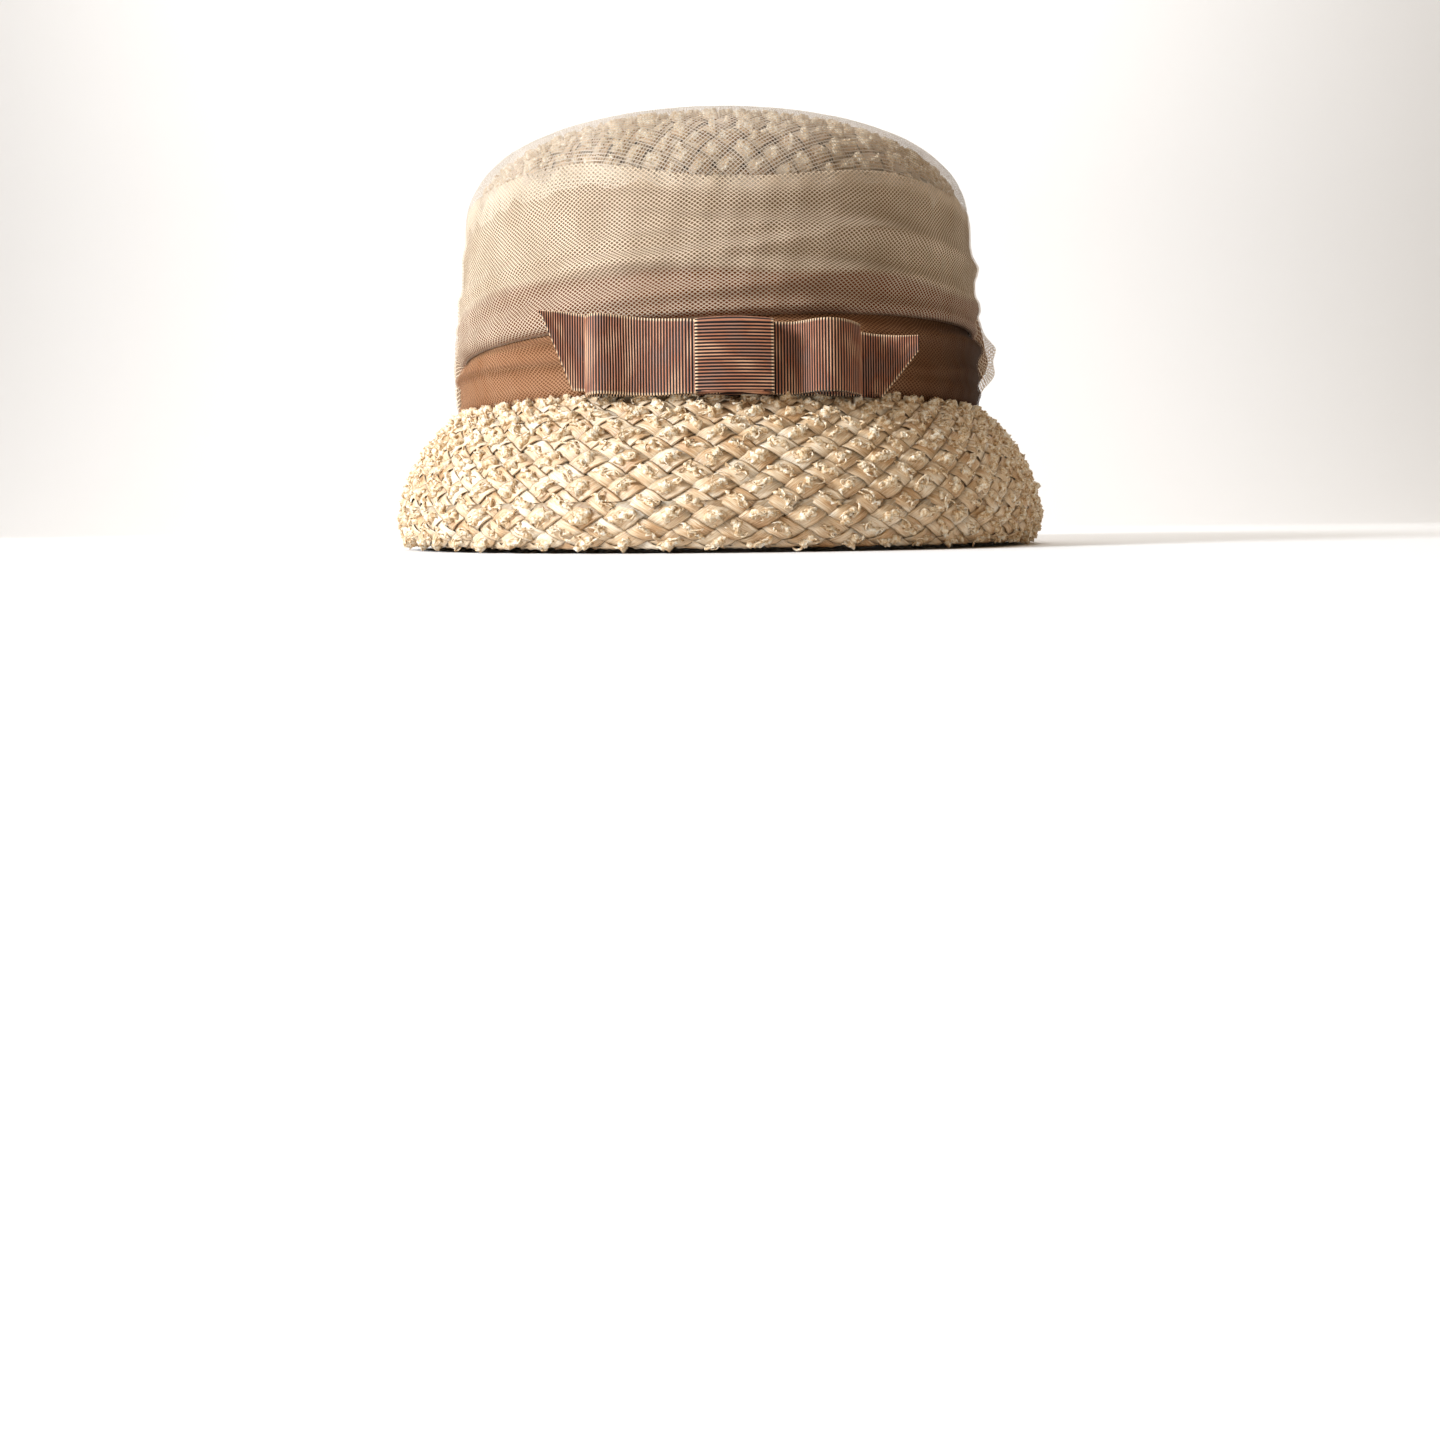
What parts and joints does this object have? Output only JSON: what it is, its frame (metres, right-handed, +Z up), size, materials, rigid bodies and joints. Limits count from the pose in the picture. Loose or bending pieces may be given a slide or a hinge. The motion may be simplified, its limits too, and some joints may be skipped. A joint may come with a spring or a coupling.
{
  "type": "cloche hat",
  "caption": "Plaited straw cloche hat with a bell brim, fine net over the crown, a gathered net band and swathe, and a flat ribbed ribbon bow at the front.",
  "frame": {"origin": "middle of the brim's edge, on the surface that the hat rests on", "axes": "+Z up through the crown, -Y towards the front with the bow, +X towards the side that is on the right when the bow faces the viewer"},
  "size_m": [0.2244, 0.2464, 0.1345],
  "materials": {
    "straw": "satin plaited straw in natural cream",
    "cream_net": "matt fine net in cream",
    "brown_net": "matt fine net in brown",
    "ribbon": "ribbed ribbon in brown with a slight sheen"
  },
  "bodies": {
    "root": {"crown": "straw", "brim": "straw", "net_veil": "cream_net", "net_swathe": "cream_net", "net_band": "brown_net", "bow_tails": "ribbon", "bow_loops": "ribbon", "bow_knot": "ribbon"}
  },
  "joints": []
}
